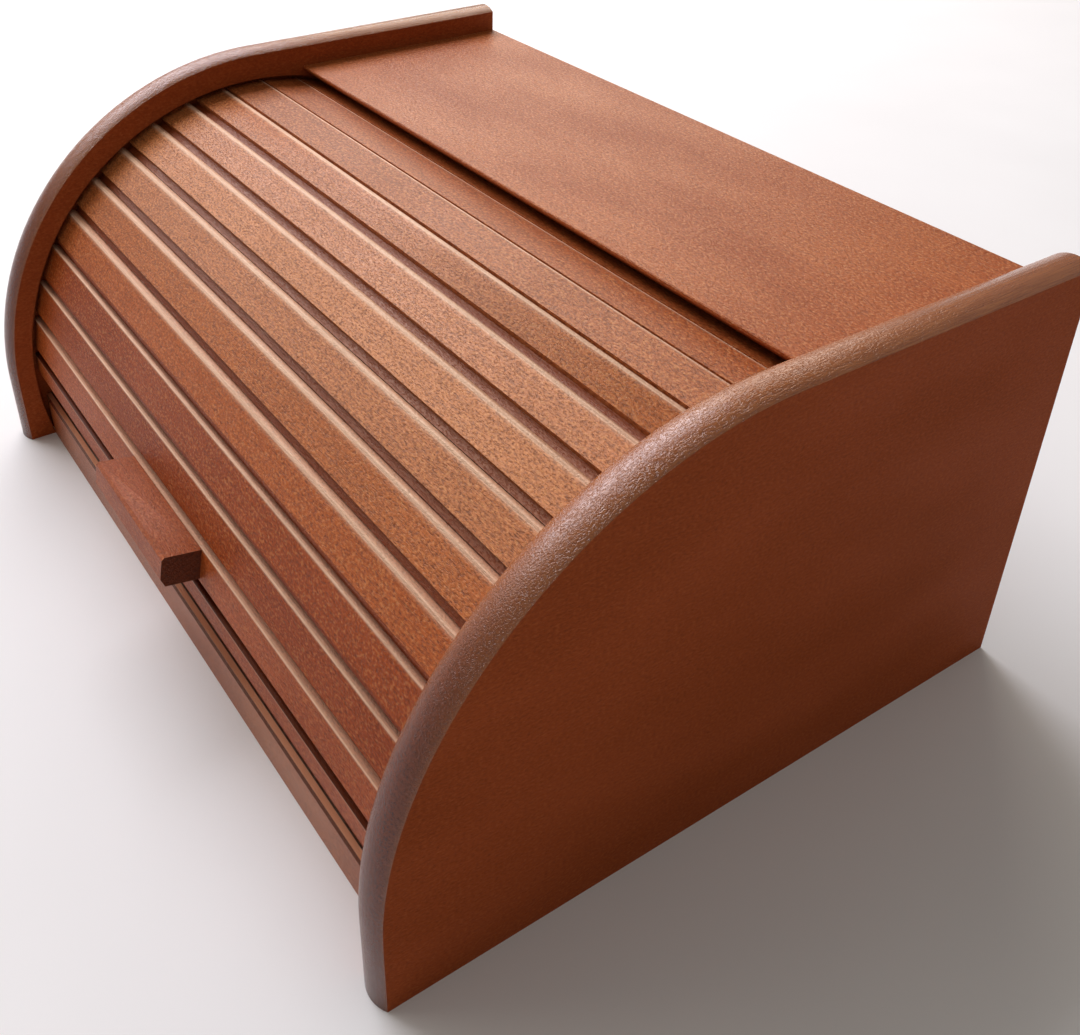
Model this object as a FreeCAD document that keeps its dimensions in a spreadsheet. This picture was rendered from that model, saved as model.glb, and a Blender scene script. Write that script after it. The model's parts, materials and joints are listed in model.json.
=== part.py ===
"""Bread box with a roll top: two crowned side panels, four boards and a slatted curtain.

Frame: X runs across the box, Y from front to back, Z up. The origin is on the surface that the
box stands on, under the middle of its overall size. Millimetres.
"""
import FreeCAD
import Part
import math
import os
import Sketcher
from FreeCAD import Placement, Rotation, Vector

doc = FreeCAD.newDocument("BreadBox")

# ---------------------------------------------------------------- driving dimensions
DIMENSIONS = {
    # side panels
    "overall_width": 390,
    "arris_depth": 290,         # flat faces of a panel, front to back
    "arris_height": 180,        # flat faces of a panel, bottom to top
    "panel_thickness": 15,
    "nose_radius": 147,         # rounded front of the panel outline
    "crown_rise": 2.4,          # how far the crowned edge stands out beyond the arrises
    # curved track of the curtain
    "track_y": 0.3,
    "track_z": 32.3,
    "groove_outer": 135.5,
    "groove_inner": 122.8,
    "groove_depth": 6.5,
    "groove_front_angle": 20,   # below the level of the centre, so the groove runs out underneath
    "groove_back_angle": 193,
    # curtain
    "curtain_radius": 133,      # outer corners of the slats
    "slat_angle": 8.65,
    "lead_angle": 6.4,          # upper side of the leading slat
    "slat_thickness": 8,
    "slat_end_play": 1,
    "slat_gap": 0.15,           # each slat's half of the gap to its neighbour
    "strip_width": 3.5,         # sunk strip along the lower side of a slat
    "narrow_strip_width": 2.4,
    "strip_sink": 2.5,
    "round_width": 2.6,         # rounded upper edge of each slat
    "round_depth": 1.7,
    "round_bulge": 0.55,        # how far its middle stands out from a straight chamfer
    "low_round_width": 1.3,     # the same edge on the lowest and highest slats, less sanded
    "low_round_depth": 0.9,
    "low_round_bulge": 0.28,
    "lead_face_drop": 0.8,      # leading slat, below its own middle: end of the face
    "lead_lip_drop": 15.4,      # and end of the lip that closes on the rail
    "lead_lip_sink": 5,
    "canvas_gap": 0.12,
    "canvas_thickness": 0.6,
    "canvas_side_margin": 4,
    "canvas_start_angle": -0.35,
    "canvas_end_angle": 106.3,
    "canvas_hole_radius": 3,
    # handle
    "handle_length": 74,
    "handle_centre": -7.5,
    "handle_height": 13.6,
    "handle_rise": 1.4,         # its middle, above the middle of its slat
    "handle_reach": 16,
    "handle_top_ease": 1.2,
    "handle_toe_height": 3.5,
    "handle_toe_depth": 2.1,
    # boards
    "top_board_front": 28.2,
    "top_board_underside": 163.5,
    "top_board_thickness": 6.5,
    "top_board_ease": 0.4,
    "top_board_edge_height": 1.4,   # square part of the front edge; below it the board is undercut
    "top_board_undercut": 5.5,
    "base_board_underside": 4,
    "base_board_thickness": 8,
    "back_board_thickness": 6,
    "back_rebate_width": 7,
    "back_board_play": 0.3,
    "rail_front": -131.6,
    "rail_depth": 13.8,
    "rail_height": 21,
    "rail_ease": 1.2,
    "rail_tenon_length": 6,
    "rail_tenon_setback": 0.9,
    "rail_tenon_depth": 8.4,
    # dowels and screws
    "dowel_radius": 2.5,
    "thin_dowel_radius": 2,
    "dowel_end_play": 1,
    "hole_play": 0.05,
    "hole_depth": 12.2,         # in the ends and edges of the boards
    "shallow_hole_depth": 10,   # in the side panels and the rail
    "screw_radius": 1.5,
    "screw_head_radius": 3,
    "screw_head_height": 1.8,
    "back_screw_length": 18,
    "back_pilot_depth": 14,
    "handle_screw_head_radius": 2.8,
    "handle_screw_length": 18,
    "handle_screw_spacing": 44,
    "handle_hole_depth": 11,
}

sizes = doc.addObject("Spreadsheet::Sheet", "Sizes")
for row, (alias, value) in enumerate(DIMENSIONS.items(), start=1):
    sizes.set(f"A{row}", alias.replace("_", " "))
    sizes.set(f"B{row}", str(value))
    sizes.setAlias(f"B{row}", alias)
doc.recompute()

TOLERANCE = 0.001
SLAT_COUNT = 13
LESS_ROUND_SLATS = (1, 2, 3, 4, 11, 12, 13)
NARROW_STRIP_SLATS = (4, 5)
PLAIN_SLATS = (11, 12, 13)      # no sunk strip
HANDLE_SLAT = 2
PANEL_DOWEL_YS = (56, 93, 130)          # top board to side panels
BASE_DOWEL_YS = (-80, 0, 90)            # base board to side panels
RAIL_DOWEL_XS = (-140, -47, 47, 140)    # rail to base board
PANEL_SCREW_ZS = (90, 122, 154)         # back board to side panels
BASE_SCREW_XS = (-120, 0, 120)          # back board to base board

# expressions that several pieces share
HALF_WIDTH = "Sizes.overall_width / 2"
INNER_FACE = "(Sizes.overall_width / 2 - Sizes.panel_thickness)"
FRONT = "(Sizes.crown_rise - Sizes.arris_depth) / 2"
BACK = "(Sizes.crown_rise + Sizes.arris_depth) / 2"
SHOULDER = "(Sizes.arris_height - Sizes.nose_radius)"
TOP_DOWEL_Z = "Sizes.top_board_underside + Sizes.top_board_thickness / 2"
BASE_MIDDLE_Z = "Sizes.base_board_underside + Sizes.base_board_thickness / 2"
RAIL_BACK = "Sizes.rail_front + Sizes.rail_depth"
BACK_BOARD_FRONT = f"({BACK}) - Sizes.back_board_thickness"
FLAT = "(Sizes.curtain_radius * cos(Sizes.slat_angle / 2))"
SLAT_BACK = f"({FLAT} - Sizes.slat_thickness)"
TAN_HALF = "tan(Sizes.slat_angle / 2)"
SLAT_REACH = f"({INNER_FACE} + Sizes.groove_depth - Sizes.slat_end_play)"
DOWEL_LENGTH = "(Sizes.shallow_hole_depth + Sizes.hole_depth - 2 * Sizes.dowel_end_play)"


def number(expression):
    """The present value of an expression on the sheet."""
    return float(sizes.evalExpression(expression))


# ---------------------------------------------------------------- sketch and feature helpers
def origin_plane(body, role):
    return next(feature for feature in body.Origin.OriginFeatures if feature.Role == role)


def new_body(name):
    body = doc.addObject("PartDesign::Body", name)
    body.Label = name
    return body


def new_sketch(body, name, role, offset="0"):
    """A sketch on one of the body's own origin planes, moved along its normal by an expression."""
    sketch = body.newObject("Sketcher::SketchObject", name)
    sketch.AttachmentSupport = [(origin_plane(body, role), "")]
    sketch.MapMode = "FlatFace"
    sketch.setExpression("AttachmentOffset.Base.z", offset)
    return sketch


def fix_point(sketch, geometry, vertex, across, up):
    """Bind a point's two coordinates to expressions."""
    for kind, expression in (("DistanceX", across), ("DistanceY", up)):
        index = sketch.addConstraint(
            Sketcher.Constraint(kind, -1, 1, geometry, vertex, number(expression)))
        sketch.setExpression(f"Constraints[{index}]", expression)


def arc_through(start, middle, end):
    """An arc from start to end by way of middle, drawn counter-clockwise as a sketch keeps it."""
    circle = Part.Arc(start, middle, end).toShape().Curve
    centre = circle.Center
    first, halfway, last = (math.atan2(spot.y - centre.y, spot.x - centre.x)
                            for spot in (start, middle, end))
    full_turn = 2 * math.pi
    if (halfway - first) % full_turn > (last - first) % full_turn:
        first, last = last, first
    if last < first:
        last += full_turn
    return Part.ArcOfCircle(Part.Circle(centre, Vector(0, 0, 1), circle.Radius), first, last)


def add_outline(sketch, corners):
    """A closed outline through corners (across, up), or (across, up, radius, bulge) where the
    side that leaves the corner is an arc; bulge is the middle of that arc."""
    spots = [Vector(number(corner[0]), number(corner[1]), 0) for corner in corners]
    following = spots[1:] + spots[:1]
    sides = []
    for corner, start, end in zip(corners, spots, following):
        if len(corner) == 2:
            sides.append(sketch.addGeometry(Part.LineSegment(start, end)))
            continue
        middle = Vector(number(corner[3][0]), number(corner[3][1]), 0)
        sides.append(sketch.addGeometry(arc_through(start, middle, end)))
    ends = []
    for side, start in zip(sides, spots):
        first = sketch.getPoint(side, 1)
        ends.append((1, 2) if first.isEqual(start, TOLERANCE) else (2, 1))
    for index, side in enumerate(sides):
        after = (index + 1) % len(sides)
        sketch.addConstraint(
            Sketcher.Constraint("Coincident", side, ends[index][1], sides[after], ends[after][0]))
    for corner, side, (first, _) in zip(corners, sides, ends):
        fix_point(sketch, side, first, corner[0], corner[1])
        if len(corner) == 4:
            index = sketch.addConstraint(Sketcher.Constraint("Radius", side, number(corner[2])))
            sketch.setExpression(f"Constraints[{index}]", corner[2])


def add_circles(sketch, centres, radius):
    for across, up in centres:
        spot = Vector(number(across), number(up), 0)
        circle = sketch.addGeometry(Part.Circle(spot, Vector(0, 0, 1), number(radius)))
        fix_point(sketch, circle, 3, across, up)
        index = sketch.addConstraint(Sketcher.Constraint("Radius", circle, number(radius)))
        sketch.setExpression(f"Constraints[{index}]", radius)


def pad(body, sketch, length, midplane=False, backwards=False):
    feature = body.newObject("PartDesign::Pad", sketch.Name + "_pad")
    feature.Profile = sketch
    feature.setExpression("Length", length)
    feature.Midplane = midplane
    feature.Reversed = backwards
    return feature


def pocket(body, sketch, depth, along_normal):
    """Cut a sketch into the body; along_normal says that the cut runs the way the sketch faces."""
    feature = body.newObject("PartDesign::Pocket", sketch.Name + "_pocket")
    feature.Profile = sketch
    feature.setExpression("Length", depth)
    feature.Reversed = along_normal
    return feature


def primitive(kind, name, dimensions, place, rotation=Rotation()):
    """A Part primitive whose dimensions and position are bound to expressions."""
    solid = doc.addObject(kind, name)
    for prop, expression in dimensions.items():
        solid.setExpression(prop, expression)
    solid.Placement = Placement(Vector(), rotation)
    for axis, expression in zip("xyz", place):
        solid.setExpression(f"Placement.Base.{axis}", expression)
    return solid


def board(name, width, depth, height, place):
    dimensions = {"Length": width, "Width": depth, "Height": height}
    return primitive("Part::Box", name, dimensions, place)


ALONG_X = Rotation(Vector(0, 1, 0), 90)
ALONG_Y = Rotation(Vector(1, 0, 0), -90)
TOWARDS_FRONT = Rotation(Vector(1, 0, 0), 90)


def pin(name, radius, length, place, rotation):
    return primitive("Part::Cylinder", name, {"Radius": radius, "Height": length}, place, rotation)


def group(name, members):
    """Several separate solids that share one node."""
    compound = doc.addObject("Part::Compound", name)
    compound.Label = name
    compound.Links = members
    return compound


def drilled(name, solid, tools):
    """The solid with every tool cut from it."""
    holes = group(name + "_holes", tools)
    result = doc.addObject("Part::Cut", name)
    result.Label = name
    result.Base = solid
    result.Tool = holes
    return result


# ---------------------------------------------------------------- side panels
def side_panel(name, side):
    """A panel with a crowned front and top edge, and the curtain's groove inside. side is -1 or 1."""
    body = new_body(name)
    middle = f"{side} * ({HALF_WIDTH} - Sizes.panel_thickness / 2)"
    outline = new_sketch(body, name + "_outline", "YZ_Plane", middle)
    nose_y = f"({FRONT}) + Sizes.nose_radius"
    bulge = (f"{nose_y} - Sizes.nose_radius * cos(45)", f"{SHOULDER} + Sizes.nose_radius * sin(45)")
    add_outline(outline, [
        (FRONT, "0"),
        (FRONT, SHOULDER, "Sizes.nose_radius", bulge),
        (nose_y, "Sizes.arris_height"),
        (BACK, "Sizes.arris_height"),
        (BACK, "0"),
    ])
    pad(body, outline, "Sizes.panel_thickness", midplane=True)

    # crowned edge: a flat arc across the thickness, carried up the front and over the top
    half = "Sizes.panel_thickness / 2"
    crown = new_sketch(body, name + "_crown", "XY_Plane")
    crown_radius = "(Sizes.panel_thickness ^ 2 / 4 + Sizes.crown_rise ^ 2) / (2 * Sizes.crown_rise)"
    crown_top = (middle, f"({FRONT}) - Sizes.crown_rise")
    add_outline(crown, [
        (f"{middle} - {half}", FRONT, crown_radius, crown_top),
        (f"{middle} + {half}", FRONT),
    ])
    path = new_sketch(body, name + "_path", "YZ_Plane", middle)
    spots = [Vector(number(FRONT), 0, 0), Vector(number(FRONT), number(SHOULDER), 0),
             Vector(number(nose_y), number("Sizes.arris_height"), 0),
             Vector(number(BACK), number("Sizes.arris_height"), 0)]
    front_run = path.addGeometry(Part.LineSegment(spots[0], spots[1]))
    nose_middle = Vector(number(bulge[0]), number(bulge[1]), 0)
    nose = path.addGeometry(arc_through(spots[1], nose_middle, spots[2]))
    top_run = path.addGeometry(Part.LineSegment(spots[2], spots[3]))
    fix_point(path, front_run, 1, FRONT, "0")
    fix_point(path, front_run, 2, FRONT, SHOULDER)
    fix_point(path, top_run, 1, nose_y, "Sizes.arris_height")
    fix_point(path, top_run, 2, BACK, "Sizes.arris_height")
    low, high = (1, 2) if path.getPoint(nose, 1).isEqual(spots[1], TOLERANCE) else (2, 1)
    path.addConstraint(Sketcher.Constraint("Coincident", nose, low, front_run, 2))
    path.addConstraint(Sketcher.Constraint("Coincident", nose, high, top_run, 1))
    radius = path.addConstraint(Sketcher.Constraint("Radius", nose, number("Sizes.nose_radius")))
    path.setExpression(f"Constraints[{radius}]", "Sizes.nose_radius")
    sweep = body.newObject("PartDesign::AdditivePipe", name + "_crown_sweep")
    sweep.Profile = crown
    sweep.Spine = path

    # curtain groove: an arc of constant width, open at the bottom behind the rail
    inner = f"{side} * {INNER_FACE}"
    groove = new_sketch(body, name + "_groove", "YZ_Plane", inner)

    def polar(radius, angle):
        """A point of the track; angle is counted up from the front."""
        return (f"Sizes.track_y - {radius} * cos({angle})", f"Sizes.track_z + {radius} * sin({angle})")

    start = "-Sizes.groove_front_angle"
    end = "Sizes.groove_back_angle"
    halfway = "((Sizes.groove_back_angle - Sizes.groove_front_angle) / 2)"
    outer_radius = "Sizes.groove_outer"
    inner_radius = "Sizes.groove_inner"
    add_outline(groove, [
        (*polar(outer_radius, start), outer_radius, polar(outer_radius, halfway)),
        polar(outer_radius, end),
        (*polar(inner_radius, end), inner_radius, polar(inner_radius, halfway)),
        polar(inner_radius, start),
    ])
    pocket(body, groove, "Sizes.groove_depth", along_normal=side > 0)

    # rebate for the back board
    rebate = new_sketch(body, name + "_rebate", "YZ_Plane", inner)
    add_outline(rebate, [
        (BACK_BOARD_FRONT, "0"),
        (BACK_BOARD_FRONT, "Sizes.top_board_underside"),
        (BACK, "Sizes.top_board_underside"),
        (BACK, "0"),
    ])
    pocket(body, rebate, "Sizes.back_rebate_width", along_normal=side > 0)

    # blind dowel holes for the top and base boards, and pilot holes for the back board's screws
    top_holes = new_sketch(body, name + "_top_holes", "YZ_Plane", inner)
    add_circles(top_holes, [(str(y), TOP_DOWEL_Z) for y in PANEL_DOWEL_YS],
                "Sizes.thin_dowel_radius + Sizes.hole_play")
    pocket(body, top_holes, "Sizes.shallow_hole_depth", along_normal=side > 0)
    base_holes = new_sketch(body, name + "_base_holes", "YZ_Plane", inner)
    add_circles(base_holes, [(str(y), BASE_MIDDLE_Z) for y in BASE_DOWEL_YS],
                "Sizes.dowel_radius + Sizes.hole_play")
    pocket(body, base_holes, "Sizes.shallow_hole_depth", along_normal=side > 0)
    pilot_x = f"{side} * ({INNER_FACE} + Sizes.back_rebate_width / 2)"
    pilots = new_sketch(body, name + "_pilots", "XZ_Plane", f"-({BACK_BOARD_FRONT})")
    add_circles(pilots, [(pilot_x, str(z)) for z in PANEL_SCREW_ZS],
                "Sizes.screw_radius + Sizes.hole_play")
    body.Tip = pocket(body, pilots, "Sizes.back_pilot_depth", along_normal=True)
    return body


panels = [side_panel("left_side_panel", -1), side_panel("right_side_panel", 1)]


# ---------------------------------------------------------------- boards, with their holes
def end_holes(name, radius, ys, height):
    """Dowel holes in both ends of a board that runs across the box."""
    holes = []
    for index, y in enumerate(ys, start=1):
        for side, label in ((-1, "left"), (1, "right")):
            mouth = f"{side} * {INNER_FACE}"
            start = mouth if side < 0 else f"{mouth} - Sizes.hole_depth"
            holes.append(pin(f"{name}_{label}_{index}", f"{radius} + Sizes.hole_play",
                             "Sizes.hole_depth", (start, str(y), height), ALONG_X))
    return holes


BOARD_WIDTH = f"2 * {INNER_FACE}"
LEFT_FACE = f"-{INNER_FACE}"

TOP_FACE = "Sizes.top_board_underside + Sizes.top_board_thickness"
top_blank = new_body("top_blank")
top_section = new_sketch(top_blank, "top_section", "YZ_Plane")
add_outline(top_section, [
    ("Sizes.top_board_front + Sizes.top_board_ease", TOP_FACE),
    (BACK, TOP_FACE),
    (BACK, "Sizes.top_board_underside"),
    ("Sizes.top_board_front + Sizes.top_board_undercut", "Sizes.top_board_underside"),
    ("Sizes.top_board_front", f"{TOP_FACE} - Sizes.top_board_edge_height"),
    ("Sizes.top_board_front", f"{TOP_FACE} - Sizes.top_board_ease"),
])
top_blank.Tip = pad(top_blank, top_section, BOARD_WIDTH, midplane=True)
top_board = drilled("top_board", top_blank,
                    end_holes("top_hole", "Sizes.thin_dowel_radius", PANEL_DOWEL_YS, TOP_DOWEL_Z))

base_blank = board("base_blank", BOARD_WIDTH, f"({BACK_BOARD_FRONT}) - ({RAIL_BACK})",
                   "Sizes.base_board_thickness", (LEFT_FACE, RAIL_BACK, "Sizes.base_board_underside"))
base_tools = end_holes("base_hole", "Sizes.dowel_radius", BASE_DOWEL_YS, BASE_MIDDLE_Z)
for index, x in enumerate(RAIL_DOWEL_XS, start=1):
    base_tools.append(pin(f"base_front_hole_{index}", "Sizes.dowel_radius + Sizes.hole_play",
                          "Sizes.hole_depth", (str(x), RAIL_BACK, BASE_MIDDLE_Z), ALONG_Y))
for index, x in enumerate(BASE_SCREW_XS, start=1):
    base_tools.append(pin(f"base_pilot_{index}", "Sizes.screw_radius + Sizes.hole_play",
                          "Sizes.back_pilot_depth", (str(x), BACK_BOARD_FRONT, BASE_MIDDLE_Z),
                          TOWARDS_FRONT))
base_board = drilled("base_board", base_blank, base_tools)

rail = new_body("front_rail")
rail_section = new_sketch(rail, "rail_section", "YZ_Plane")
add_outline(rail_section, [
    ("Sizes.rail_front", "0"),
    ("Sizes.rail_front", "Sizes.rail_height - Sizes.rail_ease"),
    ("Sizes.rail_front + Sizes.rail_ease", "Sizes.rail_height"),
    (RAIL_BACK, "Sizes.rail_height"),
    (RAIL_BACK, "0"),
])
pad(rail, rail_section, BOARD_WIDTH, midplane=True)
tenon_section = new_sketch(rail, "rail_tenon_section", "YZ_Plane")
tenon_front = "Sizes.rail_front + Sizes.rail_tenon_setback"
tenon_back = f"{tenon_front} + Sizes.rail_tenon_depth"
add_outline(tenon_section, [
    (tenon_front, "0"),
    (tenon_front, "Sizes.rail_height"),
    (tenon_back, "Sizes.rail_height"),
    (tenon_back, "0"),
])
pad(rail, tenon_section, f"{BOARD_WIDTH} + 2 * Sizes.rail_tenon_length", midplane=True)
rail_holes = new_sketch(rail, "rail_holes", "XZ_Plane", f"-({RAIL_BACK})")
add_circles(rail_holes, [(str(x), BASE_MIDDLE_Z) for x in RAIL_DOWEL_XS],
            "Sizes.dowel_radius + Sizes.hole_play")
rail.Tip = pocket(rail, rail_holes, "Sizes.shallow_hole_depth", along_normal=True)

screw_places = []
for side in (-1, 1):
    for z in PANEL_SCREW_ZS:
        screw_places.append((f"{side} * ({INNER_FACE} + Sizes.back_rebate_width / 2)", str(z)))
screw_places += [(str(x), BASE_MIDDLE_Z) for x in BASE_SCREW_XS]


def screw_solids(name, index, place, rotation, length, play):
    """The countersunk head and the shank of one screw, both starting at the head's flat."""
    head = primitive("Part::Cone", f"{name}_head_{index}",
                     {"Radius1": f"Sizes.screw_head_radius + {play}",
                      "Radius2": f"Sizes.screw_radius + {play}",
                      "Height": "Sizes.screw_head_height"}, place, rotation)
    shank = pin(f"{name}_shank_{index}", f"Sizes.screw_radius + {play}", length, place, rotation)
    return head, shank


back_blank = board("back_blank",
                   f"2 * ({INNER_FACE} + Sizes.back_rebate_width - Sizes.back_board_play)",
                   "Sizes.back_board_thickness",
                   "Sizes.top_board_underside - Sizes.back_board_play",
                   (f"-({INNER_FACE} + Sizes.back_rebate_width - Sizes.back_board_play)",
                    BACK_BOARD_FRONT, "0"))
back_tools = []
for index, (x, z) in enumerate(screw_places, start=1):
    back_tools += screw_solids("back_hole", index, (x, BACK, z), TOWARDS_FRONT,
                               "Sizes.back_screw_length", "Sizes.hole_play")
back_board = drilled("back_board", back_blank, back_tools)


# ---------------------------------------------------------------- dowels and back board screws
def end_dowels(name, radius, ys, height):
    """Dowels that join both ends of a board to the side panels."""
    left_start = f"Sizes.dowel_end_play - {INNER_FACE} - Sizes.shallow_hole_depth"
    right_start = f"Sizes.dowel_end_play + {INNER_FACE} - Sizes.hole_depth"
    dowels = []
    for index, y in enumerate(ys, start=1):
        for label, start in (("left", left_start), ("right", right_start)):
            dowels.append(pin(f"{name}_{label}_{index}", radius, DOWEL_LENGTH,
                              (start, str(y), height), ALONG_X))
    return dowels


top_dowels = group("top_board_dowels", end_dowels("top_dowel", "Sizes.thin_dowel_radius",
                                                  PANEL_DOWEL_YS, TOP_DOWEL_Z))
base_dowels = group("base_board_dowels", end_dowels("base_dowel", "Sizes.dowel_radius",
                                                    BASE_DOWEL_YS, BASE_MIDDLE_Z))
rail_dowels = group("rail_dowels", [
    pin(f"rail_dowel_{index}", "Sizes.dowel_radius", DOWEL_LENGTH,
        (str(x), f"{RAIL_BACK} - Sizes.shallow_hole_depth + Sizes.dowel_end_play", BASE_MIDDLE_Z),
        ALONG_Y)
    for index, x in enumerate(RAIL_DOWEL_XS, start=1)])


def fuse(name, solids):
    joined = doc.addObject("Part::MultiFuse", name)
    joined.Shapes = list(solids)
    return joined


back_screws = group("back_board_screws", [
    fuse(f"back_screw_{index}", screw_solids("back_screw", index, (x, BACK, z), TOWARDS_FRONT,
                                             "Sizes.back_screw_length", "0"))
    for index, (x, z) in enumerate(screw_places, start=1)])


# ---------------------------------------------------------------- curtain
def slat_turn(index):
    """How far a slat's middle is turned up from the front, in degrees."""
    return number(f"Sizes.lead_angle + Sizes.slat_angle * ({index} - 1) - Sizes.slat_angle / 2")


def track_placement(degrees):
    """From a slat's own frame, where it faces the front level with the centre, to its place."""
    centre = Vector(0, number("Sizes.track_y"), number("Sizes.track_z"))
    return Placement(centre, Rotation(Vector(-1, 0, 0), degrees))


def slat_section(index):
    """Section of a slat in its own frame; the face is on the side of -Y."""
    top = f"{FLAT} * {TAN_HALF} - Sizes.slat_gap"
    back_top = f"{SLAT_BACK} * {TAN_HALF} - Sizes.slat_gap"
    size_name = "Sizes.low_round" if index in LESS_ROUND_SLATS else "Sizes.round"
    depth, width, rise = (f"{size_name}_{word}" for word in ("depth", "width", "bulge"))
    round_start = (f"{depth} - {FLAT}", f"({FLAT} - {depth}) * {TAN_HALF} - Sizes.slat_gap")
    round_end = (f"-{FLAT}", f"{top} - {width}")
    drop = f"({round_start[1]} - ({round_end[1]}))"
    chord = f"sqrt({depth} ^ 2 + {drop} ^ 2)"
    bulge = (f"({round_start[0]} + {round_end[0]}) / 2 - {rise} * {drop} / {chord}",
             f"({round_start[1]} + {round_end[1]}) / 2 + {rise} * {depth} / {chord}")
    round_radius = f"({chord} ^ 2 / 4 + {rise} ^ 2) / (2 * {rise})"
    corners = [
        (f"-{SLAT_BACK}", back_top),
        (*round_start, round_radius, bulge),
        round_end,
    ]
    if index == 1:
        lip_face = f"Sizes.lead_lip_sink - {FLAT}"
        return corners + [
            (f"-{FLAT}", "-Sizes.lead_face_drop"),
            (lip_face, "-Sizes.lead_face_drop"),
            (lip_face, "-Sizes.lead_lip_drop"),
            (f"-{SLAT_BACK}", "-Sizes.lead_lip_drop"),
        ]
    if index in PLAIN_SLATS:
        return corners + [(f"-{FLAT}", f"-({top})"), (f"-{SLAT_BACK}", f"-({back_top})")]
    strip_face = f"Sizes.strip_sink - {FLAT}"
    strip_width = "narrow_strip_width" if index in NARROW_STRIP_SLATS else "strip_width"
    face_end = f"Sizes.{strip_width} - {FLAT} * {TAN_HALF}"
    return corners + [
        (f"-{FLAT}", face_end),
        (strip_face, face_end),
        (strip_face, f"Sizes.slat_gap - ({FLAT} - Sizes.strip_sink) * {TAN_HALF}"),
        (f"-{SLAT_BACK}", f"-({back_top})"),
    ]


HANDLE_SCREW_XS = [f"Sizes.handle_centre + {side} * Sizes.handle_screw_spacing / 2"
                   for side in (-1, 1)]


def slat(index):
    name = f"slat_{index:02d}"
    body = new_body(name)
    section = new_sketch(body, name + "_section", "YZ_Plane")
    add_outline(section, slat_section(index))
    body.Tip = pad(body, section, f"2 * {SLAT_REACH}", midplane=True)
    if index == HANDLE_SLAT:
        holes = new_sketch(body, name + "_screw_holes", "XZ_Plane", SLAT_BACK)
        add_circles(holes, [(x, "0") for x in HANDLE_SCREW_XS], "Sizes.screw_radius + Sizes.hole_play")
        body.Tip = pocket(body, holes, "Sizes.slat_thickness", along_normal=True)
    body.Placement = track_placement(slat_turn(index))
    return body


slats = [slat(index) for index in range(1, SLAT_COUNT + 1)]

# canvas glued to the backs of the slats, as one curved strip
canvas = new_body("canvas_backing")
canvas_outer = f"({SLAT_BACK} - Sizes.canvas_gap)"
canvas_inner = f"({SLAT_BACK} - Sizes.canvas_gap - Sizes.canvas_thickness)"
canvas_start = "0"
canvas_end = "(Sizes.canvas_end_angle - Sizes.canvas_start_angle)"
canvas_section = new_sketch(canvas, "canvas_section", "YZ_Plane")


def curtain_polar(radius, angle):
    return f"-{radius} * cos({angle})", f"{radius} * sin({angle})"


add_outline(canvas_section, [
    (*curtain_polar(canvas_outer, canvas_start), canvas_outer,
     curtain_polar(canvas_outer, f"({canvas_end} / 2)")),
    curtain_polar(canvas_outer, canvas_end),
    (*curtain_polar(canvas_inner, canvas_end), canvas_inner,
     curtain_polar(canvas_inner, f"({canvas_end} / 2)")),
    curtain_polar(canvas_inner, canvas_start),
])
pad(canvas, canvas_section, f"2 * ({INNER_FACE} - Sizes.canvas_side_margin)", midplane=True)
canvas_turn = number("Sizes.canvas_start_angle")
canvas_holes = new_sketch(canvas, "canvas_screw_holes", "XZ_Plane",
                          f"{canvas_inner} - Sizes.slat_thickness")
screw_rise = f"{canvas_outer} * sin({slat_turn(HANDLE_SLAT) - canvas_turn})"
add_circles(canvas_holes, [(x, screw_rise) for x in HANDLE_SCREW_XS], "Sizes.canvas_hole_radius")
canvas.Tip = pocket(canvas, canvas_holes, "2 * Sizes.slat_thickness", along_normal=True)
canvas.Placement = track_placement(canvas_turn)

# ---------------------------------------------------------------- handle and its screws
handle = new_body("handle")
handle_section = new_sketch(handle, "handle_section", "YZ_Plane", "Sizes.handle_centre")
low = "Sizes.handle_rise - Sizes.handle_height / 2"
high = "Sizes.handle_rise + Sizes.handle_height / 2"
nose = f"-({FLAT} + Sizes.handle_reach)"
add_outline(handle_section, [
    (f"-{FLAT}", low),
    (f"-{FLAT}", high),
    (f"{nose} + Sizes.handle_top_ease", high),
    (nose, f"{high} - Sizes.handle_top_ease"),
    (nose, f"{low} + Sizes.handle_toe_height"),
    (f"{nose} + Sizes.handle_toe_depth", low),
])
pad(handle, handle_section, "Sizes.handle_length", midplane=True)
handle_holes = new_sketch(handle, "handle_screw_holes", "XZ_Plane", FLAT)
add_circles(handle_holes, [(x, "0") for x in HANDLE_SCREW_XS], "Sizes.screw_radius + Sizes.hole_play")
handle.Tip = pocket(handle, handle_holes, "Sizes.handle_hole_depth", along_normal=True)
handle.Placement = track_placement(slat_turn(HANDLE_SLAT))

# button heads behind the slat, shanks through it into the handle
handle_screws = []
for index, x in enumerate(HANDLE_SCREW_XS, start=1):
    head_place = (x, f"Sizes.screw_head_height - {SLAT_BACK}", "0")
    head = pin(f"handle_screw_head_{index}", "Sizes.handle_screw_head_radius",
               "Sizes.screw_head_height", head_place, TOWARDS_FRONT)
    shank = pin(f"handle_screw_shank_{index}", "Sizes.screw_radius", "Sizes.handle_screw_length",
                head_place, TOWARDS_FRONT)
    handle_screws.append(fuse(f"handle_screw_{index}", (head, shank)))
screws = group("handle_screws", handle_screws)
screws.Placement = track_placement(slat_turn(HANDLE_SLAT))

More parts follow.
